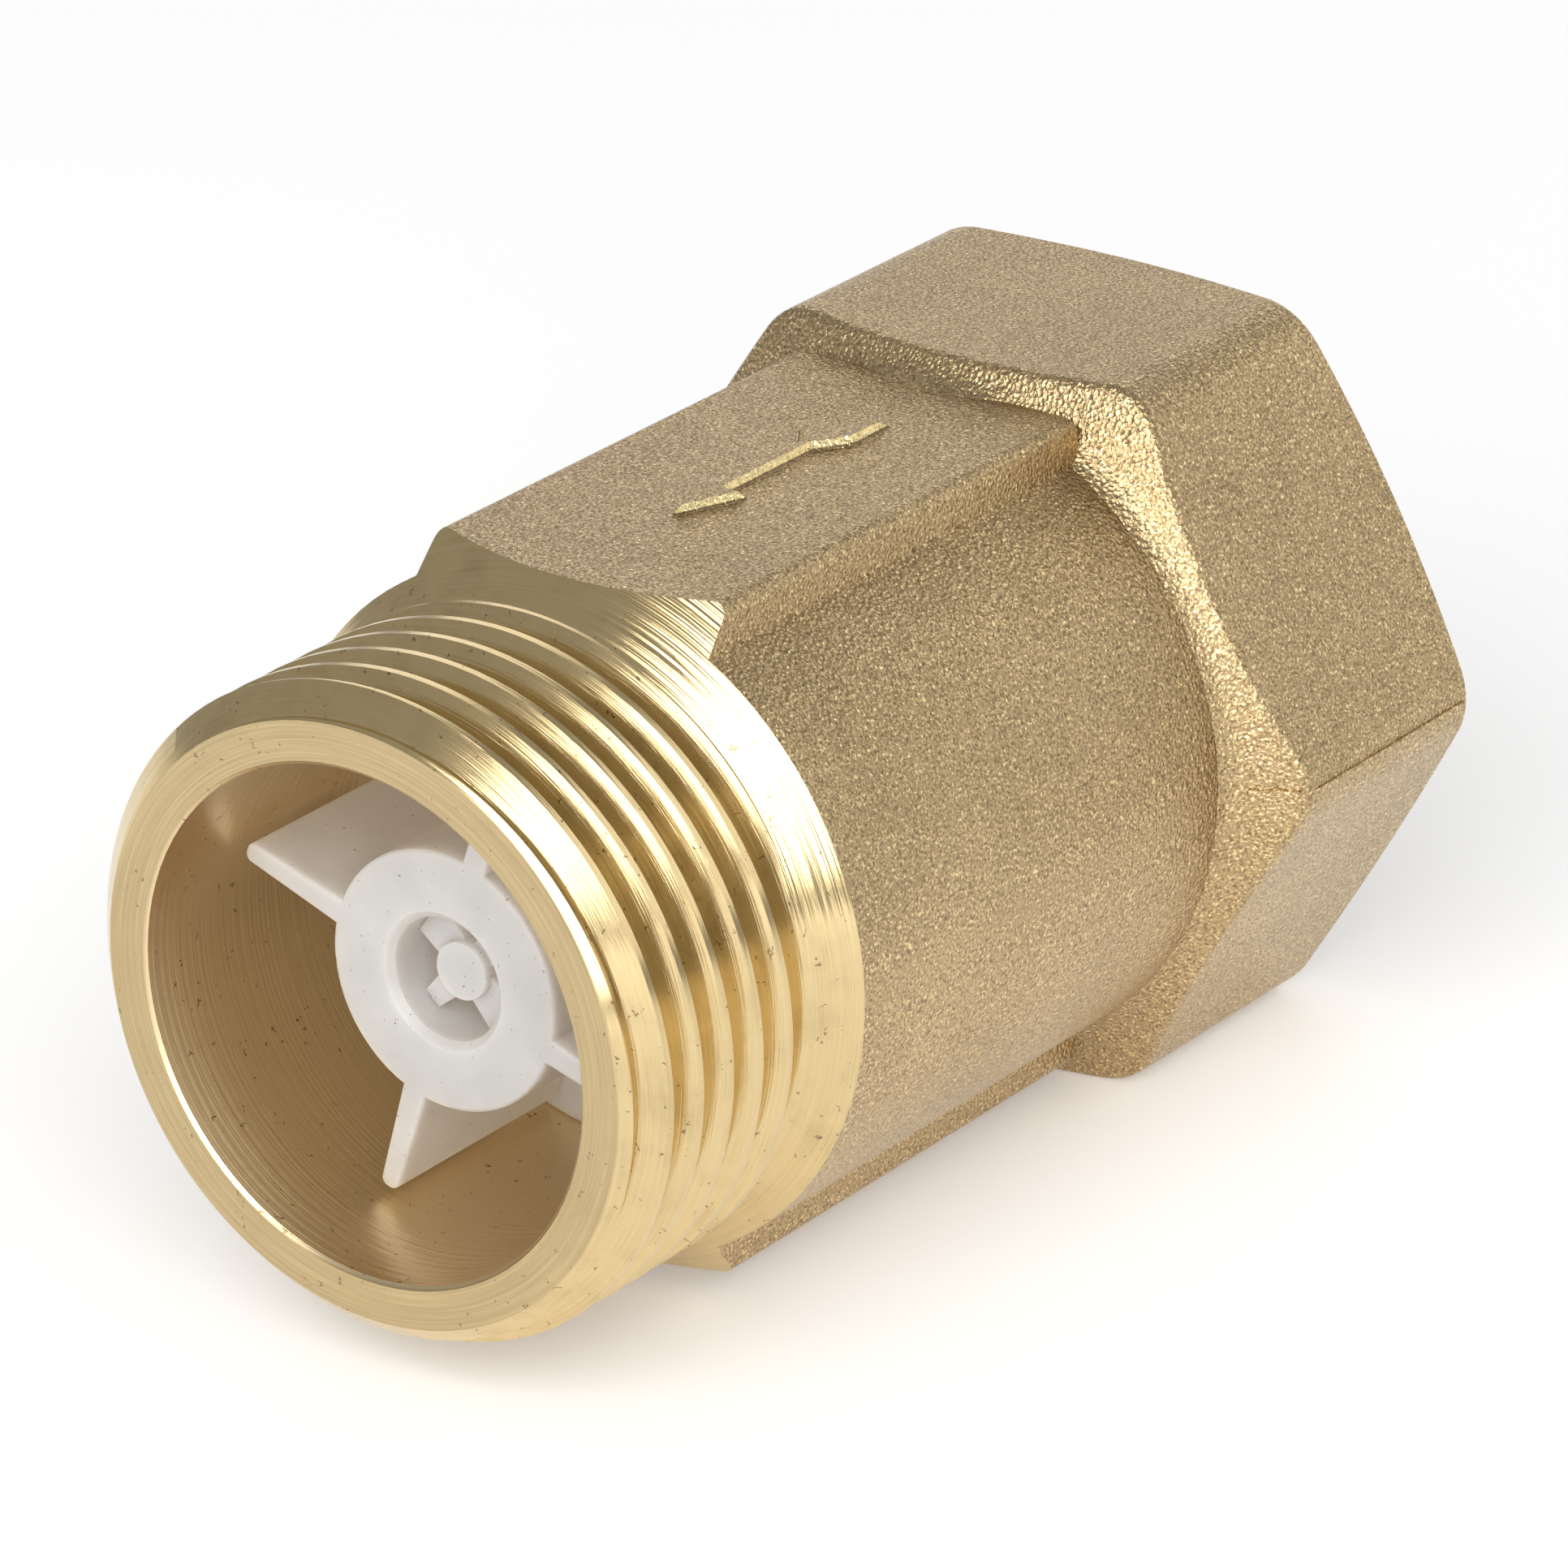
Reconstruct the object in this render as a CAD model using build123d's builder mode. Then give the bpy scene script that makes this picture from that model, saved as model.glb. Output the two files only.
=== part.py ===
# Spring check valve, G 3/4, with a one-piece forged brass body.
#
# Frame: millimetres, X along the flow. The origin is on the valve axis, half way between the ends.
# The outlet with the male thread is at +X and the inlet hexagon with the female thread at -X.
# Z points up through the flat pad that carries the flow arrow.
from build123d import *
from build123d.topology import SkipClean
from math import cos, radians, tan
import os

os.makedirs("parts", exist_ok=True)

# ---- Overall ----
length = 50.0
outlet_x = length / 2
inlet_x = -length / 2
overlap = 0.1  # pieces of one solid run this far into each other before they are fused

# ---- G 3/4 thread (ISO 228), inside and outside ----
pitch = 25.4 / 14
major_r = 26.441 / 2
thread_depth = 1.162
minor_r = major_r - thread_depth
crest_width = pitch / 6
flank_angle = 27.5
cutter_spill = 0.2  # how far the cutter stands past the surface that it cuts
crest_sectors = 8  # the crests' cylinder is divided evenly round the axis

# ---- Outlet end ----
outlet_thread_length = 10.35
outlet_thread_start = outlet_x - outlet_thread_length
outlet_face_r = 12.03
outlet_chamfer_length = 1.19
outlet_groove_phase = 24.70  # a groove's centre stands here at the top of the valve
neck_r = 11.95
neck_cone_x = 14.55  # the neck turns into a 45 degree cone here
bore_r = 10.3
bore_edge = 0.15

# ---- Forged barrel and pads ----
barrel_r = 14.0
barrel_start_x = -11.5  # inside the hexagon's shoulder
pad_z = 13.9
pad_half_width = 6.8
pad_root_half_width = 7.0
pad_root_z = 11.0
pad_edge_fillet = 0.6
pad_base_fillet = 0.5
turned_r = 16.0  # the neck's 45 degree cone is turned out to this radius

# ---- Hexagon ----
hex_flat_r = 15.0
hex_corner_fillet = 2.8
hex_corner_r = hex_flat_r / cos(radians(30)) - hex_corner_fillet * (1 / cos(radians(30)) - 1)
hex_reach_r = 18.0  # outside the corners
end_face_r = 14.85  # the inlet end's chamfer starts here
end_chamfer_angle = 18.0
shoulder_x = -12.0  # where the shoulder meets the middle of a flat
shoulder_angle = 30.0
shoulder_slope = tan(radians(shoulder_angle))
shoulder_root_r = 13.85
shoulder_root_x = shoulder_x + (hex_flat_r - shoulder_root_r) * shoulder_slope
shoulder_root_fillet = 2.0
shoulder_edge_fillet = 0.5
hexagon_end_x = -8.5  # inside the barrel

# ---- Flash along the die's parting line, on the hexagon's two level corners ----
flash_height = 0.08
flash_width = 0.24
flash_end_x = inlet_x + 0.9
flash_shoulder_r = hex_corner_r - 0.35  # it turns down the shoulder here
flash_foot_r = 14.8
flash_root_depth = 0.6
flash_shoulder_x = shoulder_x - (flash_shoulder_r - hex_flat_r) * shoulder_slope
flash_foot_x = shoulder_x - (flash_foot_r - hex_flat_r) * shoulder_slope

# ---- Flow arrow ----
arrow_height = 0.35
arrow_tip_x = 5.8
arrow_barb_x = 2.4
arrow_tail_x = -2.9
arrow_end_x = -6.9
arrow_half_width = 1.4
arrow_shaft_half_width = 0.45
arrow_taper = 35

# ---- Inlet socket ----
socket_bottom_x = -13.0
socket_relief_x = -15.0
socket_relief_r = 13.45
socket_relief_chamfer = 0.45
socket_mouth_r = 13.35
socket_core_r = 9.0  # inside every thread groove
spill = 1.0  # cuts run this far past the end faces
outlet_thread_turns = 8
inlet_thread_turns = 7

# ---- Seat and chamber ----
port_r = 8.0
port_cone_x = -10.5
seat_x = -6.2
seat_lip_r = 8.75
seat_lip_root_r = 9.1
web_x = -7.0
chamber_r = 11.4
chamber_end_x = 4.5
snap_groove_x = 8.6
snap_groove_half_width = 0.8
snap_groove_r = 10.75

# ---- Guide cage ----
cage_front_x = outlet_x - 4.95
cage_rear_x = 6.8
hub_r = 5.24
hub_hole_r = 2.5
hub_hole_edge = 0.3
hub_hole_length = 5.2  # guides the poppet's stem
hub_bore_r = 4.2
fin_count = 4
fin_first_angle = 72.6
fin_root_thickness = 1.1
fin_tip_thickness = 0.8
fin_tip_r = 9.85
fin_tip_fillet = 0.35
fin_root_depth = 0.3  # how far the fins start inside the hub's wall
cage_edge_fillet = 0.15
cage_ring_front_x = outlet_x - 14.85
cage_ring_r = 10.2
cage_ring_inner_r = 8.5
bead_r = 10.6
bead_half_width = 0.65
bead_top_half_width = 0.3

# ---- Poppet ----
lift = 5.0
disc_r = 9.5
disc_front_x = -4.5
disc_back_x = -2.4
rim_r = 9.05
rim_x = -5.3
sleeve_r = 5.2
sleeve_bore_r = 4.3
sleeve_end_x = cage_rear_x - lift - 0.05
boss_r = 4.15
boss_x = -6.1
pin_r = 3.0
pin_end_x = -8.9
barb_r = 3.3
barb_x = -8.12
stem_r = 2.44
stem_core_r = 1.15
# The stem's cross has one pair of ribs that narrow outwards and one pair that widen:
# each pair's angle, thickness at the core and thickness at the rim.
stem_rib_pairs = ((45, 1.1, 0.8), (135, 1.5, 1.8))
stem_tip_x = cage_front_x - 1.1
stem_rib_tip_x = stem_tip_x - 0.4

# ---- Seat seal and its retainer ----
seal_r = 9.0
seal_bore_r = 4.2
seal_face_x = -6.15
retainer_r = 6.4
retainer_nose_r = 5.0
retainer_nose_x = -6.9
retainer_end_x = -8.1
retainer_bore_r = 3.05

# ---- Return spring ----
wire_r = 0.25
spring_r = 3.65
spring_turns = 6
spring_end_gap = 0.06


def outline(*points):
    """A closed face through the given points, inside the current sketch."""
    with BuildLine() as border:
        Polyline(*points, close=True)
    make_face(border.edges())


def turn(*points, mode=Mode.ADD):
    """Revolve an (x, radius) outline round the valve axis."""
    with BuildSketch(Plane.XY) as profile:
        outline(*points)
    revolve(profile.sketch, axis=Axis.X, clean=False, mode=mode)


def turn_in_sectors(*points, mode=Mode.ADD):
    """As turn, with the surfaces divided evenly round the axis."""
    for i in range(crest_sectors):
        with BuildSketch(Plane.XY.rotated((360 / crest_sectors * i, 0, 0))) as profile:
            outline(*points)
        revolve(profile.sketch, Axis.X, 360 / crest_sectors, clean=False, mode=mode)


def thread_turn(root_r, mouth_r):
    """One turn of a thread groove, from its narrow root radius to past its mouth radius."""
    outward = 1 if mouth_r > root_r else -1
    spill_r = mouth_r + outward * cutter_spill
    half_root = crest_width / 2
    half_mouth = half_root + abs(spill_r - root_r) * tan(radians(flank_angle))
    with BuildPart() as groove:
        with BuildLine() as path:
            Helix(pitch=pitch, height=pitch, radius=root_r, direction=(1, 0, 0))
        with BuildSketch(Plane.XZ):
            outline(
                (-half_root, root_r),
                (half_root, root_r),
                (half_mouth, spill_r),
                (-half_mouth, spill_r),
            )
        sweep(path=path.line, is_frenet=True)
    return groove.part


def cut_thread(groove, first_x, turns):
    """Cut a thread one turn at a time, from first_x towards the outlet."""
    for i in range(turns):
        with Locations((first_x + i * pitch, 0, 0)):
            add(groove, mode=Mode.SUBTRACT, clean=False)


# ---- Valve body: one brass forging, threaded at both ends ----
outlet_groove = thread_turn(minor_r, major_r)
inlet_groove = thread_turn(major_r, minor_r)

# The hexagon is a rounded prism inside a turned outline with a chamfered end and a sloping shoulder.
with BuildPart() as hexagon:
    with BuildSketch(Plane.XY):
        outline(
            (inlet_x, 0),
            (inlet_x, end_face_r),
            (inlet_x + (hex_reach_r - end_face_r) * tan(radians(end_chamfer_angle)), hex_reach_r),
            (shoulder_x - (hex_reach_r - hex_flat_r) * shoulder_slope, hex_reach_r),
            (shoulder_root_x, shoulder_root_r),
            (hexagon_end_x, shoulder_root_r),
            (hexagon_end_x, 0),
        )
        shoulder_root = vertices().sort_by_distance((shoulder_root_x, shoulder_root_r))[0]
        fillet(shoulder_root, shoulder_root_fillet)
    revolve(axis=Axis.X)
    with BuildSketch(Plane.YZ.offset(inlet_x)):
        RegularPolygon(hex_flat_r, 6, major_radius=False)
        fillet(vertices(), hex_corner_fillet)
    extrude(amount=length, mode=Mode.INTERSECT)
    curved = edges().filter_by(GeomType.HYPERBOLA) + edges().filter_by(GeomType.BSPLINE)
    middle_x = (inlet_x + shoulder_x) / 2
    fillet([edge for edge in curved if edge.center().X > middle_x], shoulder_edge_fillet)

with SkipClean(), BuildPart() as valve_body:
    # Thread blank and male thread.
    turn_in_sectors(
        (neck_cone_x - overlap, socket_core_r),
        (outlet_x, socket_core_r),
        (outlet_x, outlet_face_r),
        (outlet_x - outlet_chamfer_length, major_r),
        (neck_cone_x - overlap, major_r),
    )
    cut_thread(outlet_groove, outlet_groove_phase - (outlet_thread_turns - 1) * pitch, outlet_thread_turns)
    # Barrel with its two pads, as one section.
    with BuildSketch(Plane.YZ.offset(barrel_start_x)):
        Circle(barrel_r)
        Rectangle(3 * barrel_r, 2 * pad_z, mode=Mode.INTERSECT)
        for side in (1, -1):
            outline(
                (-pad_root_half_width, side * pad_root_z),
                (pad_root_half_width, side * pad_root_z),
                (pad_half_width, side * pad_z),
                (-pad_half_width, side * pad_z),
            )
        fillet(vertices().group_by(lambda v: abs(v.Y))[0], pad_base_fillet)
        fillet(vertices().group_by(lambda v: abs(v.Y))[-1], pad_edge_fillet)
    extrude(amount=neck_cone_x - barrel_start_x, clean=False)
    add(hexagon.part, clean=False)
    # Flash on the parting line: along the level corners and down the shoulder.
    with BuildSketch(Plane.XY):
        for side in (1, -1):
            outline(
                (flash_end_x, side * (hex_corner_r - flash_root_depth)),
                (flash_end_x, side * (hex_corner_r + flash_height)),
                (flash_shoulder_x - flash_root_depth, side * (hex_corner_r + flash_height)),
                (flash_shoulder_x + flash_height, side * flash_shoulder_r),
                (flash_foot_x + flash_height, side * flash_foot_r),
                (flash_foot_x - flash_root_depth, side * flash_foot_r),
                (flash_shoulder_x - 2 * flash_root_depth, side * (hex_corner_r - flash_root_depth)),
            )
    extrude(amount=flash_width / 2, both=True, clean=False)
    # The neck and its 45 degree cone are turned across barrel and pads alike.
    turn(
        (outlet_thread_start, neck_r),
        (neck_cone_x, neck_r),
        (neck_cone_x - (turned_r - neck_r), turned_r),
        (outlet_thread_start, turned_r),
        mode=Mode.SUBTRACT,
    )
    # Flow arrow, raised on the top pad.
    with BuildSketch(Plane.XY.offset(pad_z - overlap)):
        outline(
            (arrow_tip_x, 0),
            (arrow_barb_x, arrow_half_width),
            (arrow_barb_x, arrow_shaft_half_width),
            (arrow_tail_x, arrow_shaft_half_width),
            (arrow_tail_x - arrow_half_width, arrow_half_width),
            (arrow_end_x, arrow_half_width),
            (arrow_end_x + arrow_half_width, 0),
            (arrow_end_x, -arrow_half_width),
            (arrow_tail_x - arrow_half_width, -arrow_half_width),
            (arrow_tail_x, -arrow_shaft_half_width),
            (arrow_barb_x, -arrow_shaft_half_width),
            (arrow_barb_x, -arrow_half_width),
        )
    extrude(amount=arrow_height + overlap, taper=arrow_taper, clean=False)
    # Outlet bore with the cage's snap groove, chamber, seat lip and port.
    turn(
        (outlet_x + spill, 0),
        (outlet_x + spill, bore_r + bore_edge),
        (outlet_x, bore_r + bore_edge),
        (outlet_x - bore_edge, bore_r),
        (snap_groove_x + snap_groove_half_width, bore_r),
        (snap_groove_x + snap_groove_half_width, snap_groove_r),
        (snap_groove_x - snap_groove_half_width, snap_groove_r),
        (snap_groove_x - snap_groove_half_width, bore_r),
        (chamber_end_x + chamber_r - bore_r, bore_r),
        (chamber_end_x, chamber_r),
        (web_x, chamber_r),
        (web_x, seat_lip_root_r),
        (seat_x, seat_lip_r),
        (seat_x, port_r + bore_edge),
        (seat_x - bore_edge, port_r),
        (port_cone_x, port_r),
        (socket_bottom_x, port_r + port_cone_x - socket_bottom_x),
        (socket_bottom_x, 0),
        mode=Mode.SUBTRACT,
    )
    # Inlet socket: relief groove and core first, then the threaded wall.
    turn(
        (socket_bottom_x + overlap, 0),
        (socket_bottom_x + overlap, port_r),
        (socket_bottom_x, port_r),
        (socket_bottom_x, socket_relief_r - socket_relief_chamfer),
        (socket_bottom_x - socket_relief_chamfer, socket_relief_r),
        (socket_relief_x, socket_relief_r),
        (socket_relief_x, socket_core_r),
        (inlet_x - spill, socket_core_r),
        (inlet_x - spill, 0),
        mode=Mode.SUBTRACT,
    )
    turn_in_sectors(
        (socket_relief_x + overlap, port_r),
        (socket_relief_x + overlap, minor_r),
        (inlet_x + socket_mouth_r - minor_r, minor_r),
        (inlet_x, socket_mouth_r),
        (inlet_x - spill, socket_mouth_r),
        (inlet_x - spill, port_r),
        mode=Mode.SUBTRACT,
    )
    cut_thread(inlet_groove, inlet_x - pitch, inlet_thread_turns)
valve_body.part.label = "valve_body"
export_step(valve_body.part, "parts/valve_body.step")

# ---- Guide cage: hub, four fins and a ring that snaps into the outlet bore ----
with BuildPart() as guide_cage:
    turn(
        (cage_front_x - hub_hole_edge, hub_hole_r),
        (cage_front_x, hub_hole_r + hub_hole_edge),
        (cage_front_x, hub_r),
        (cage_rear_x, hub_r),
        (cage_rear_x, hub_bore_r),
        (cage_front_x - hub_hole_length, hub_bore_r),
        (cage_front_x - hub_hole_length, hub_hole_r),
    )
    with BuildSketch(Plane.YZ.offset(cage_rear_x)):
        with BuildSketch(mode=Mode.PRIVATE) as fin:
            outline(
                (hub_r - fin_root_depth, -fin_root_thickness / 2),
                (fin_tip_r, -fin_tip_thickness / 2),
                (fin_tip_r, fin_tip_thickness / 2),
                (hub_r - fin_root_depth, fin_root_thickness / 2),
            )
            fillet(vertices().group_by(Axis.X)[-1], fin_tip_fillet)
        with PolarLocations(0, fin_count, start_angle=fin_first_angle):
            add(fin.sketch)
    extrude(amount=cage_front_x - cage_rear_x)
    front_face = faces().filter_by(Axis.X).sort_by(Axis.X)[-1]
    fillet(front_face.outer_wire().edges(), cage_edge_fillet)
    turn(
        (cage_ring_front_x, cage_ring_inner_r),
        (cage_ring_front_x, cage_ring_r),
        (snap_groove_x + bead_half_width, cage_ring_r),
        (snap_groove_x + bead_top_half_width, bead_r),
        (snap_groove_x - bead_top_half_width, bead_r),
        (snap_groove_x - bead_half_width, cage_ring_r),
        (cage_rear_x, cage_ring_r),
        (cage_rear_x, cage_ring_inner_r),
    )
guide_cage.part.label = "guide_cage"
export_step(guide_cage.part, "parts/guide_cage.step")

# ---- Poppet: disc, spring sleeve, seal boss and cross-ribbed stem ----
with BuildPart() as poppet:
    turn(
        (disc_back_x, 0),
        (disc_back_x, sleeve_bore_r),
        (sleeve_end_x, sleeve_bore_r),
        (sleeve_end_x, sleeve_r),
        (disc_back_x, sleeve_r),
        (disc_back_x, disc_r),
        (rim_x, disc_r),
        (rim_x, rim_r),
        (disc_front_x, rim_r),
        (disc_front_x, boss_r),
        (boss_x, boss_r),
        (boss_x, pin_r),
        (barb_x, pin_r),
        (barb_x, barb_r),
        (pin_end_x, pin_r - (barb_r - pin_r)),
        (pin_end_x, 0),
    )
    with BuildSketch(Plane.YZ.offset(disc_back_x - overlap)):
        Circle(stem_core_r)
        for angle, root, tip in stem_rib_pairs:
            with BuildSketch(mode=Mode.PRIVATE) as rib:
                outline(
                    (0, -root / 2),
                    (stem_core_r, -root / 2),
                    (stem_r + overlap, -tip / 2),
                    (stem_r + overlap, tip / 2),
                    (stem_core_r, root / 2),
                    (0, root / 2),
                )
            with PolarLocations(0, 2, start_angle=angle):
                add(rib.sketch)
        Circle(stem_r, mode=Mode.INTERSECT)
    extrude(amount=stem_rib_tip_x - disc_back_x + overlap)
    with BuildSketch(Plane.YZ.offset(stem_rib_tip_x)):
        Circle(stem_core_r)
    extrude(amount=stem_tip_x - stem_rib_tip_x)
poppet.part.label = "poppet"
export_step(poppet.part, "parts/poppet.step")

# ---- Seat seal: a flat rubber ring between the disc and the seat lip ----
with BuildPart() as seat_seal:
    turn(
        (disc_front_x, seal_bore_r),
        (disc_front_x, seal_r),
        (seal_face_x, seal_r),
        (seal_face_x, seal_bore_r),
    )
seat_seal.part.label = "seat_seal"
export_step(seat_seal.part, "parts/seat_seal.step")

# ---- Seal retainer: snaps over the poppet's pin and points its nose upstream ----
with BuildPart() as seal_retainer:
    turn(
        (seal_face_x, retainer_bore_r),
        (seal_face_x, retainer_r),
        (retainer_nose_x, retainer_r),
        (retainer_end_x, retainer_nose_r),
        (retainer_end_x, retainer_bore_r),
    )
seal_retainer.part.label = "seal_retainer"
export_step(seal_retainer.part, "parts/seal_retainer.step")

# ---- Return spring, from the disc's back to the hub's inner wall ----
spring_start_x = disc_back_x + wire_r + spring_end_gap
spring_length = cage_front_x - hub_hole_length - wire_r - spring_end_gap - spring_start_x
with BuildPart() as return_spring:
    with BuildLine() as coil:
        Helix(
            pitch=spring_length / spring_turns,
            height=spring_length,
            radius=spring_r,
            center=(spring_start_x, 0, 0),
            direction=(1, 0, 0),
        )
    with BuildSketch(Plane(origin=coil.line @ 0, z_dir=coil.line % 0)):
        Circle(wire_r)
    sweep(path=coil.line, is_frenet=True)
return_spring.part.label = "return_spring"
export_step(return_spring.part, "parts/return_spring.step")
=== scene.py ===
# Looks for the G 3/4 check valve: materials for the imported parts, the spring, light, floor and camera.
# Everything is in metres in the row frame: X along the flow, Z up through the pad with the arrow.
from math import cos, pi, radians, sin, sqrt

import bmesh
import bpy
from mathutils import Matrix, Vector


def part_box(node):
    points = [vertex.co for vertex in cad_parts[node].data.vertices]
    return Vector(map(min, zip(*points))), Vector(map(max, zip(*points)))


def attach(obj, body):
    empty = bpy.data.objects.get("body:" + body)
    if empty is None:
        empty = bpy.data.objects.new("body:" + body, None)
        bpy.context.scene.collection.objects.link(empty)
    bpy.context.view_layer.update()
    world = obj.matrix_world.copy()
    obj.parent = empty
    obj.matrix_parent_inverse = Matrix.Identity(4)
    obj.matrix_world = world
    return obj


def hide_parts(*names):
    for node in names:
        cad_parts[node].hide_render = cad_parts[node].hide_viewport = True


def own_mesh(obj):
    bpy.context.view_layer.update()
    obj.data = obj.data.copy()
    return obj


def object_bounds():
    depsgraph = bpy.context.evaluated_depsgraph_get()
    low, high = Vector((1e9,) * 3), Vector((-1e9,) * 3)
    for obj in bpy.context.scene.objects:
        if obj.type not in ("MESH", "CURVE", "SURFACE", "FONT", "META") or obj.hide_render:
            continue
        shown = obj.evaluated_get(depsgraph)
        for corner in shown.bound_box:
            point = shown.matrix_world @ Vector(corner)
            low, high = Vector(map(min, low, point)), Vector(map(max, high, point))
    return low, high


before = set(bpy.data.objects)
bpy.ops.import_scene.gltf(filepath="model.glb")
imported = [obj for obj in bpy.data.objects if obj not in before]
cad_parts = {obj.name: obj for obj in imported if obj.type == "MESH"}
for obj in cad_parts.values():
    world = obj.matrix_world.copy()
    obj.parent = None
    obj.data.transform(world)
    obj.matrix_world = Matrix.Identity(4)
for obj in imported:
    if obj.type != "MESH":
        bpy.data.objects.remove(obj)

CAD_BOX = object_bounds()
MM = 0.001  # one millimetre, in metres

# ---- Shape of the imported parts, in millimetres, for sorting their surfaces by finish ----
CONE_SUM = 26.5  # x + radius on the turned cone behind the thread
PAD_Z = 13.9
ARROW_Z = 14.25  # the arrow's top
THREAD_START_X = 14.65
FACE_EDGE_R = 12.1  # just outside the outlet's end face, and just outside the thread's roots at 12.06
END_X = 25.0
INLET_X = -END_X
END_FACE_R = 14.85
END_CHAMFER_SLOPE = 0.325
BORE_LIMIT_R = 13.6  # every surface of the sockets, bore and chamber is nearer to the axis than this

# ---- Return spring ----
WIRE_R = 0.25
OPEN_TURNS = 6
END_TURNS = 0.75
STEPS_PER_TURN = 48
WIRE_SIDES = 12


# ======== Node helpers ========
class Shader:
    """A Principled material, with short calls that add and link nodes."""

    def __init__(self, name, **uniform):
        self.material = bpy.data.materials.new(name)
        self.material.use_nodes = True
        self.tree = self.material.node_tree
        self.surface = self.tree.nodes["Principled BSDF"]
        for socket, value in uniform.items():
            self.surface.inputs[socket.replace("_", " ").title()].default_value = value
        place = self.add("ShaderNodeTexCoord").outputs["Object"]
        self.point = self.vector("MULTIPLY", place, (1 / MM, 1 / MM, 1 / MM))

    def add(self, kind, inputs=None, **settings):
        node = self.tree.nodes.new(kind)
        for name, value in settings.items():
            setattr(node, name, value)
        for name, value in (inputs or {}).items():
            self.put(node.inputs[name], value)
        return node

    def put(self, socket, value):
        if isinstance(value, bpy.types.NodeSocket):
            self.tree.links.new(value, socket)
        else:
            socket.default_value = value

    def vector(self, operation, a, b):
        return self.add("ShaderNodeVectorMath", {0: a, 1: b}, operation=operation).outputs[0]

    def math(self, operation, a, b=0.5):
        return self.add("ShaderNodeMath", {0: a, 1: b}, operation=operation).outputs[0]

    def ramp(self, value, low, high, to_low=0.0, to_high=1.0):
        """value from low..high to to_low..to_high, held at its ends."""
        node = self.add("ShaderNodeMapRange", {0: value, 1: low, 2: high, 3: to_low, 4: to_high})
        return node.outputs[0]

    def noise(self, vector, scale, detail=2.0, roughness=0.5):
        inputs = {"Vector": vector, "Scale": scale, "Detail": detail, "Roughness": roughness}
        return self.add("ShaderNodeTexNoise", inputs).outputs[0]

    def cells(self, vector, scale):
        """Distance to the nearest of the points strewn at this scale."""
        return self.add("ShaderNodeTexVoronoi", {"Vector": vector, "Scale": scale}).outputs["Distance"]

    def coordinates(self):
        """x, y and z of the shaded point, in millimetres."""
        return self.add("ShaderNodeSeparateXYZ", {0: self.point}).outputs

    def from_axis(self, y, z):
        """Distance from the valve's axis, in millimetres."""
        return self.math("SQRT", self.math("ADD", self.math("MULTIPLY", y, y), self.math("MULTIPLY", z, z)))

    def mix(self, factor, a, b):
        """Colour a where factor is 0, b where it is 1."""
        node = self.add("ShaderNodeMix", data_type="RGBA")
        self.put(node.inputs["Factor"], factor)
        self.put(node.inputs["A"], (*a, 1) if isinstance(a, tuple) else a)
        self.put(node.inputs["B"], (*b, 1) if isinstance(b, tuple) else b)
        return node.outputs["Result"]

    def bump(self, height, strength, depth_mm, below=None):
        inputs = {"Strength": strength, "Distance": depth_mm * MM, "Height": height}
        if below is not None:
            inputs["Normal"] = below
        return self.add("ShaderNodeBump", inputs).outputs[0]

    def turning(self, line_mm, arc=2.0, detail=3.0):
        """Noise drawn out round the valve's axis, as a lathe tool leaves it: lines about line_mm apart."""
        x, y, z = self.coordinates()
        radius = self.from_axis(y, z)
        along = self.math("DIVIDE", x, line_mm)
        round_y = self.math("MULTIPLY", self.math("DIVIDE", y, radius), arc)
        round_z = self.math("MULTIPLY", self.math("DIVIDE", z, radius), arc)
        vector = self.add("ShaderNodeCombineXYZ", {0: along, 1: round_y, 2: round_z}).outputs[0]
        node = self.add("ShaderNodeTexNoise", noise_dimensions="4D")
        self.put(node.inputs["Vector"], vector)
        self.put(node.inputs["W"], self.math("DIVIDE", radius, line_mm))
        self.put(node.inputs["Scale"], 1.0)
        self.put(node.inputs["Detail"], detail)
        return node.outputs[0]


# ======== Materials ========
def cast_brass():
    """Shot-blasted forging: fine dimples with painted glints on the grain, and slow changes of tone."""
    s = Shader("cast_brass", metallic=1.0)
    grain = s.noise(s.point, 8.0)
    facets = s.cells(s.point, 5.0)
    cloud = s.noise(s.point, 0.16, detail=3.0)
    tone = s.mix(s.ramp(cloud, 0.35, 0.65), (0.495, 0.358, 0.19), (0.56, 0.408, 0.22))
    tone = s.mix(s.ramp(grain, 0.34, 0.47, 0.9, 0.0), tone, (0.25, 0.178, 0.095))
    # Painted highlight: pale glints coloured into the highest specks of the grain.
    tone = s.mix(s.ramp(grain, 0.58, 0.68), tone, (0.98, 0.77, 0.40))
    x, y, z = s.coordinates()
    # The arrow: painted shade darkens the pad round its foot, and a painted highlight lightens its flank.
    on_pad = s.ramp(x, -9.0, -8.9)
    foot_shade = s.math("MULTIPLY", s.ramp(z, PAD_Z + 0.005, PAD_Z + 0.02), s.ramp(z, PAD_Z + 0.12, PAD_Z + 0.08))
    flank_highlight = s.math("MULTIPLY", s.ramp(z, PAD_Z + 0.08, PAD_Z + 0.12), s.ramp(z, ARROW_Z, ARROW_Z - 0.03))
    tone = s.mix(s.math("MULTIPLY", foot_shade, on_pad), tone, (0.22, 0.16, 0.08))
    tone = s.mix(s.math("MULTIPLY", flank_highlight, on_pad), tone, (0.97, 0.78, 0.40))
    s.put(s.surface.inputs["Base Color"], tone)
    s.put(s.surface.inputs["Roughness"], s.ramp(grain, 0.35, 0.65, 0.40, 0.20))
    dents = s.bump(facets, 1.0, 0.05)
    s.put(s.surface.inputs["Normal"], s.bump(grain, 1.0, 0.05, dents))
    return s.material


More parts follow.
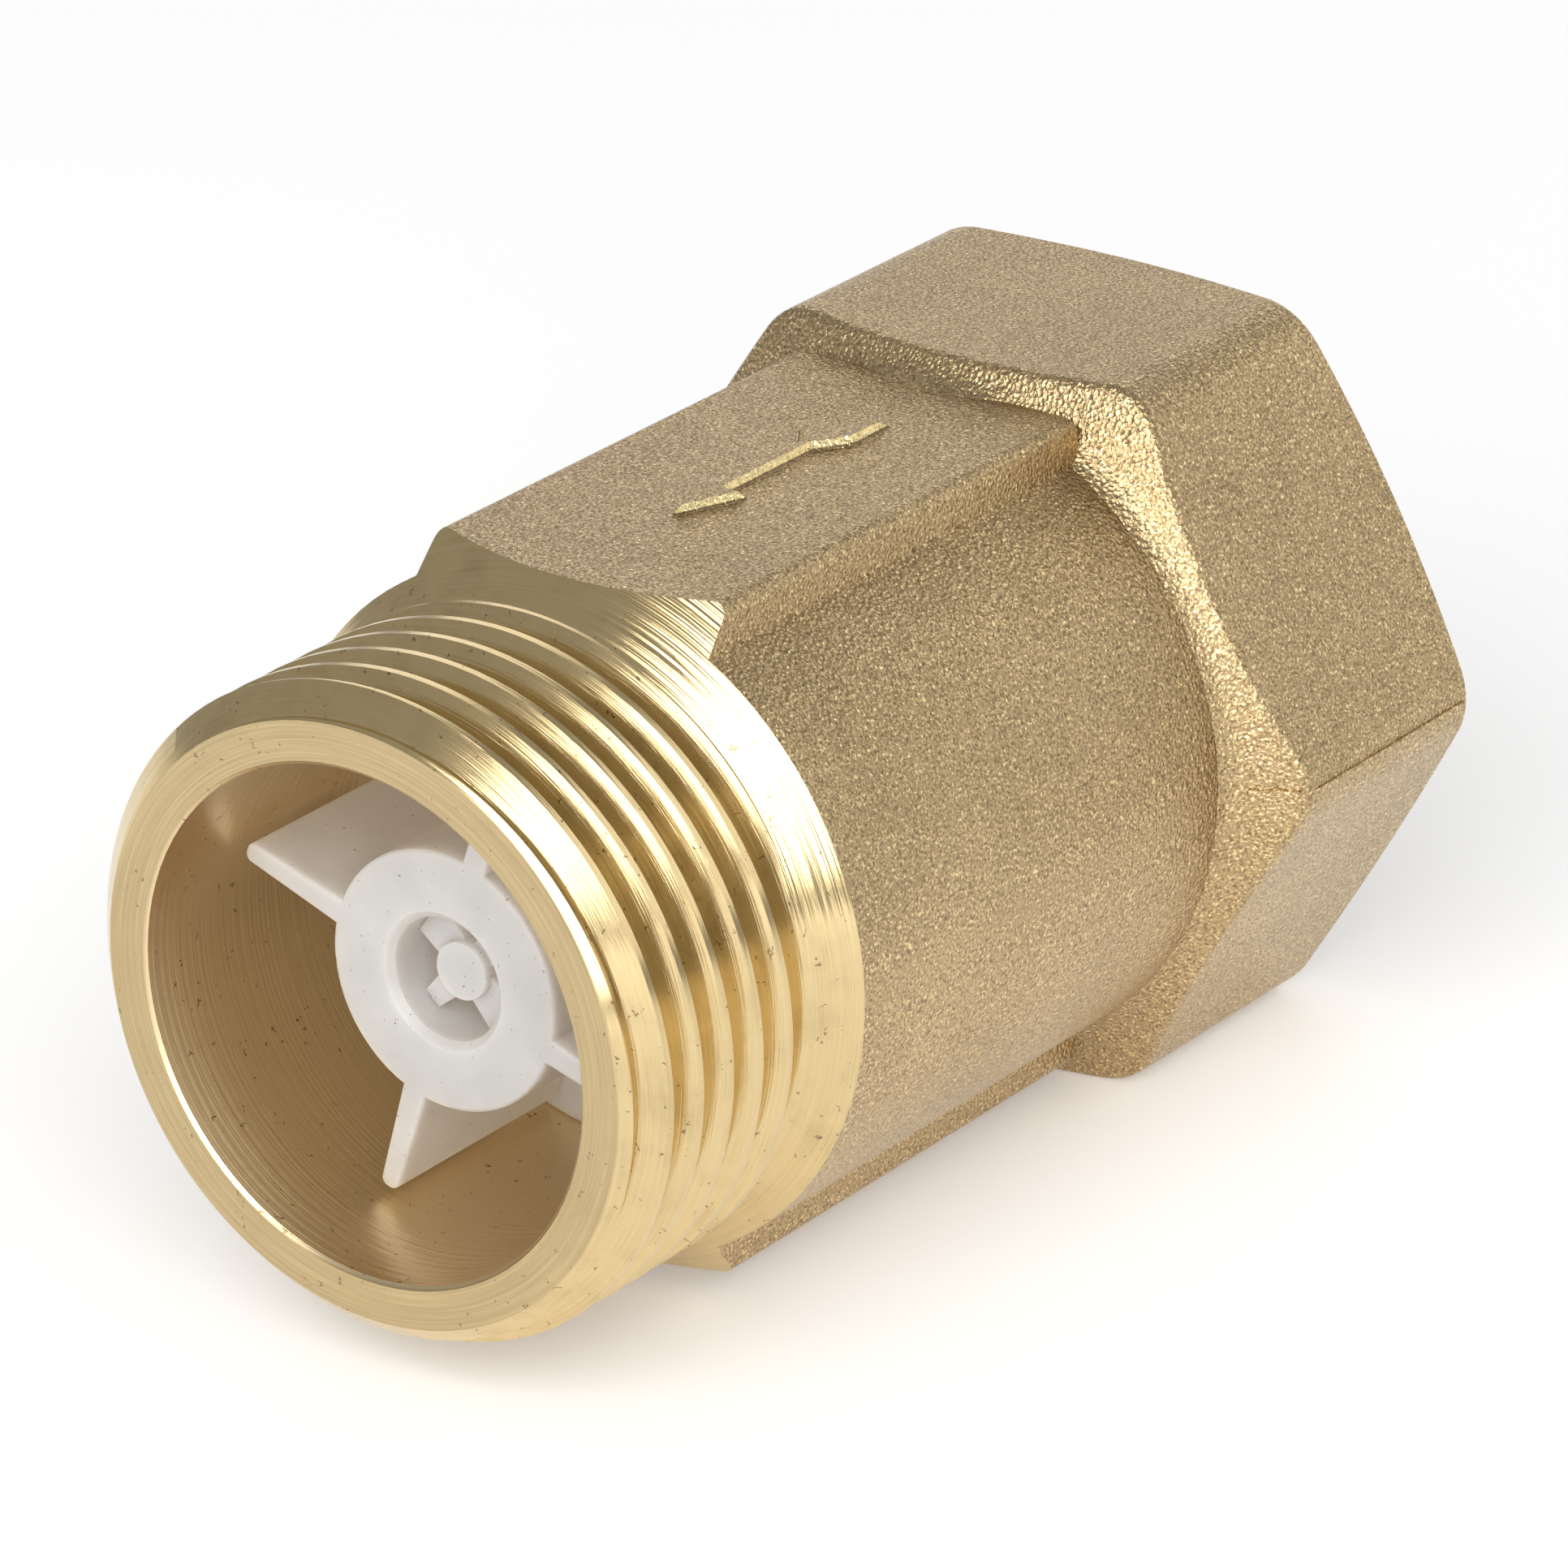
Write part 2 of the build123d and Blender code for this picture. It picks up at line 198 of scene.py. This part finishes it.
def turned_brass():
    """Lathe-cut brass with tool lines round the axis: faint on the thread, deepest on the neck's cone."""
    s = Shader("turned_brass", metallic=1.0)
    fine = s.turning(0.07)
    coarse = s.turning(0.17, arc=0.06, detail=1.0)
    stain = s.noise(s.point, 0.5, detail=4.0, roughness=0.6)
    x, y, z = s.coordinates()
    behind_thread = s.ramp(x, THREAD_START_X + 0.05, THREAD_START_X - 0.15)
    within = s.ramp(s.from_axis(y, z), FACE_EDGE_R, FACE_EDGE_R - 0.1)
    tone = s.mix(s.ramp(stain, 0.45, 0.75), (0.70, 0.535, 0.27), (0.56, 0.42, 0.21))
    tone = s.mix(s.ramp(fine, 0.35, 0.65, 0.0, 0.6), tone, (0.78, 0.62, 0.35))
    tone = s.mix(s.math("MULTIPLY", within, s.ramp(fine, 0.3, 0.7, 1.0, 0.4)), tone, (0.50, 0.38, 0.21))
    # Painted light: inside the bore the brass is coloured lighter, standing in for light that reaches into
    # it.
    tone = s.mix(s.math("MULTIPLY", within, s.ramp(x, END_X, END_X - 0.1)), tone, (0.80, 0.64, 0.39))
    sway = s.add("ShaderNodeTexNoise", {"Vector": s.point, "Scale": 3.0}).outputs["Color"]
    warped = s.vector("ADD", s.point, sway)
    dust = s.math("ADD", s.cells(warped, 1.6), s.ramp(stain, 0.40, 0.55, 0.1, 0.0))
    tone = s.mix(s.ramp(dust, 0.11, 0.16), (0.30, 0.21, 0.11), tone)
    s.put(s.surface.inputs["Base Color"], tone)
    polish = s.ramp(fine, 0.3, 0.7, 0.20, 0.12)
    s.put(s.surface.inputs["Roughness"], s.math("ADD", polish, s.math("MULTIPLY", within, 0.16)))
    lined = s.math("MAXIMUM", behind_thread, s.math("MULTIPLY", within, 0.6))
    rings = s.bump(coarse, s.ramp(lined, 0, 1, 0.15, 1.0), 0.04)
    s.put(s.surface.inputs["Normal"], s.bump(fine, 0.6, 0.012, rings))
    return s.material


def white_plastic():
    """Natural moulded plastic, a little translucent, with moulding haze and dust specks."""
    s = Shader("white_plastic", roughness=0.42)
    s.surface.inputs["Subsurface Weight"].default_value = 1.0
    s.surface.inputs["Subsurface Radius"].default_value = (1.0, 0.85, 0.7)
    s.surface.inputs["Subsurface Scale"].default_value = 2.5 * MM
    haze = s.noise(s.point, 0.35, detail=3.0)
    tone = s.mix(s.ramp(haze, 0.35, 0.65), (0.40, 0.415, 0.425), (0.45, 0.465, 0.475))
    for scale, size in ((1.1, 0.07), (2.3, 0.09)):
        speck = s.cells(s.point, scale)
        tone = s.mix(s.ramp(speck, 0.6 * size, size), (0.16, 0.13, 0.10), tone)
    s.put(s.surface.inputs["Base Color"], tone)
    # Painted glow: a faint warm emission stands in for light that soaks through the thin walls.
    s.surface.inputs["Emission Color"].default_value = (1.0, 0.72, 0.48, 1)
    s.surface.inputs["Emission Strength"].default_value = 0.12
    s.put(s.surface.inputs["Roughness"], s.ramp(s.noise(s.point, 4.0), 0.3, 0.7, 0.36, 0.5))
    s.put(s.surface.inputs["Normal"], s.bump(s.noise(s.point, 5.0, detail=3.0), 0.15, 0.02))
    return s.material


def black_rubber():
    """Moulded rubber with a fine grain."""
    s = Shader("black_rubber")
    grain = s.noise(s.point, 6.0, detail=3.0)
    s.put(s.surface.inputs["Base Color"], s.mix(grain, (0.018, 0.018, 0.019), (0.045, 0.044, 0.043)))
    s.put(s.surface.inputs["Roughness"], s.ramp(grain, 0.3, 0.7, 0.55, 0.75))
    s.put(s.surface.inputs["Normal"], s.bump(grain, 0.25, 0.02))
    return s.material


def spring_wire():
    """Drawn steel wire, slightly streaked."""
    s = Shader("spring_wire", metallic=1.0)
    streak = s.noise(s.point, 7.0, detail=3.0)
    s.put(s.surface.inputs["Base Color"], s.mix(streak, (0.48, 0.48, 0.49), (0.68, 0.67, 0.66)))
    s.put(s.surface.inputs["Roughness"], s.ramp(streak, 0.3, 0.7, 0.22, 0.38))
    s.put(s.surface.inputs["Normal"], s.bump(streak, 0.2, 0.01))
    return s.material


def is_turned(polygon):
    """Does this surface of the valve body get the turned finish, and not the forged one?

    The flat ring of the inlet's end face, from BORE_LIMIT_R to END_FACE_R, is left with the forged finish.
    """
    x, y, z = polygon.center / MM
    radius = sqrt(y * y + z * z)
    on_outlet = x + radius > CONE_SUM - 0.06
    inside = radius < BORE_LIMIT_R
    on_inlet_chamfer = x < INLET_X + (radius - END_FACE_R) * END_CHAMFER_SLOPE + 0.02
    return on_outlet or inside or on_inlet_chamfer


def finish_body():
    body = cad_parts["valve_body"]
    body.data.materials.clear()
    body.data.materials.append(cast_brass())
    body.data.materials.append(turned_brass())
    for polygon in body.data.polygons:
        polygon.material_index = int(is_turned(polygon))


def finish_inner_parts():
    plastic = white_plastic()
    rubber = black_rubber()
    finishes = {"guide_cage": plastic, "poppet": plastic, "seal_retainer": plastic, "seat_seal": rubber}
    for name, material in finishes.items():
        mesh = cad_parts[name].data
        mesh.materials.clear()
        mesh.materials.append(material)


def build_spring():
    """The return spring as wound, with open turns between two closed ends that lie square to the axis."""
    low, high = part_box("return_spring")
    wire = WIRE_R * MM
    coil_r = high.y - wire
    first, last = low.x + wire, high.x - wire
    rise = (last - first - 2 * END_TURNS * 2 * wire) / OPEN_TURNS
    turns = OPEN_TURNS + 2 * END_TURNS
    steps = int(turns * STEPS_PER_TURN)
    mesh = bmesh.new()
    rings = []
    for i in range(steps + 1):
        turn = turns * i / steps
        opened = min(max(turn - END_TURNS, 0), OPEN_TURNS)
        x = first + opened * rise + (turn - opened) * 2 * wire
        angle = 2 * pi * turn
        ring = []
        for k in range(WIRE_SIDES):
            round_wire = 2 * pi * k / WIRE_SIDES
            radius = coil_r + wire * cos(round_wire)
            place = (x + wire * sin(round_wire), radius * cos(angle), radius * sin(angle))
            ring.append(mesh.verts.new(place))
        rings.append(ring)
    for before, after in zip(rings, rings[1:]):
        for k in range(WIRE_SIDES):
            mesh.faces.new((before[k - 1], before[k], after[k], after[k - 1]))
    mesh.faces.new(rings[0])
    mesh.faces.new(reversed(rings[-1]))
    bmesh.ops.recalc_face_normals(mesh, faces=mesh.faces)
    data = bpy.data.meshes.new("spring_coil")
    mesh.to_mesh(data)
    mesh.free()
    data.shade_smooth()
    data.materials.append(spring_wire())
    coil = bpy.data.objects.new("spring_coil", data)
    bpy.context.scene.collection.objects.link(coil)
    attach(coil, "body")
    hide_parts("return_spring")
    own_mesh(coil)


# ======== Stage ========
def build_floor():
    bpy.ops.mesh.primitive_plane_add(size=4.0, location=(0, 0, CAD_BOX[0][2]))
    floor = bpy.context.object
    floor.name = "floor"
    # A little light of its own keeps the paper near white under soft light.
    s = Shader("floor_paper", roughness=0.9)
    s.surface.inputs["Base Color"].default_value = (0.95, 0.95, 0.95, 1)
    s.surface.inputs["Emission Color"].default_value = (1, 1, 1, 1)
    s.surface.inputs["Emission Strength"].default_value = 0.2
    floor.data.materials.append(s.material)


def soft_light(name, azimuth, elevation, distance, width, height, radiance):
    """A soft box that faces the origin; its angles are in degrees, from +X towards +Y and up."""
    light = bpy.data.lights.new(name, "AREA")
    light.shape = "RECTANGLE"
    light.size = width
    light.size_y = height
    light.energy = radiance * pi * width * height
    lamp = bpy.data.objects.new(name, light)
    around, up = radians(azimuth), radians(elevation)
    lamp.location = Vector((cos(up) * cos(around), cos(up) * sin(around), sin(up))) * distance
    lamp.rotation_euler = lamp.location.to_track_quat("Z", "Y").to_euler()
    bpy.context.scene.collection.objects.link(lamp)


def build_lights():
    soft_light("key", 24, 30, 0.7, 0.8, 0.66, 3.6)
    soft_light("side", 90, 18, 0.7, 0.2, 0.25, 1.7)
    soft_light("back_right", 150, 26, 0.8, 0.75, 0.5, 0.86)
    soft_light("back_left", 216, 26, 0.8, 0.6, 0.45, 0.86)
    world = bpy.data.worlds.new("studio")
    bpy.context.scene.world = world
    world.use_nodes = True
    background = world.node_tree.nodes["Background"]
    background.inputs["Color"].default_value = (1, 1, 1, 1)
    background.inputs["Strength"].default_value = 0.36


def build_camera():
    """A long lens, high on the outlet's side, with the valve set a little off the centre of the frame."""
    azimuth, elevation, roll = radians(36.714), radians(23.897), radians(-0.51)
    target = Vector((5, 0, 0)) * MM
    distance = 341.93 * MM
    aside = -3.791 * MM
    above = -2.417 * MM
    back = Vector((cos(elevation) * cos(azimuth), cos(elevation) * sin(azimuth), sin(elevation)))
    level = (-back).cross(Vector((0, 0, 1))).normalized()
    upright = level.cross(-back)
    right = cos(roll) * level + sin(roll) * upright
    up = -sin(roll) * level + cos(roll) * upright
    camera = bpy.data.objects.new("camera", bpy.data.cameras.new("camera"))
    camera.data.lens = 203.62
    camera.data.sensor_width = 36
    camera.data.clip_start = 0.01
    place = target + back * distance - right * aside - up * above
    turn = Matrix((right, up, back)).transposed().to_4x4()
    camera.matrix_world = Matrix.Translation(place) @ turn
    bpy.context.scene.collection.objects.link(camera)
    bpy.context.scene.camera = camera


finish_body()
finish_inner_parts()
build_spring()
build_floor()
build_lights()
build_camera()
bpy.context.scene.view_settings.view_transform = "Standard"
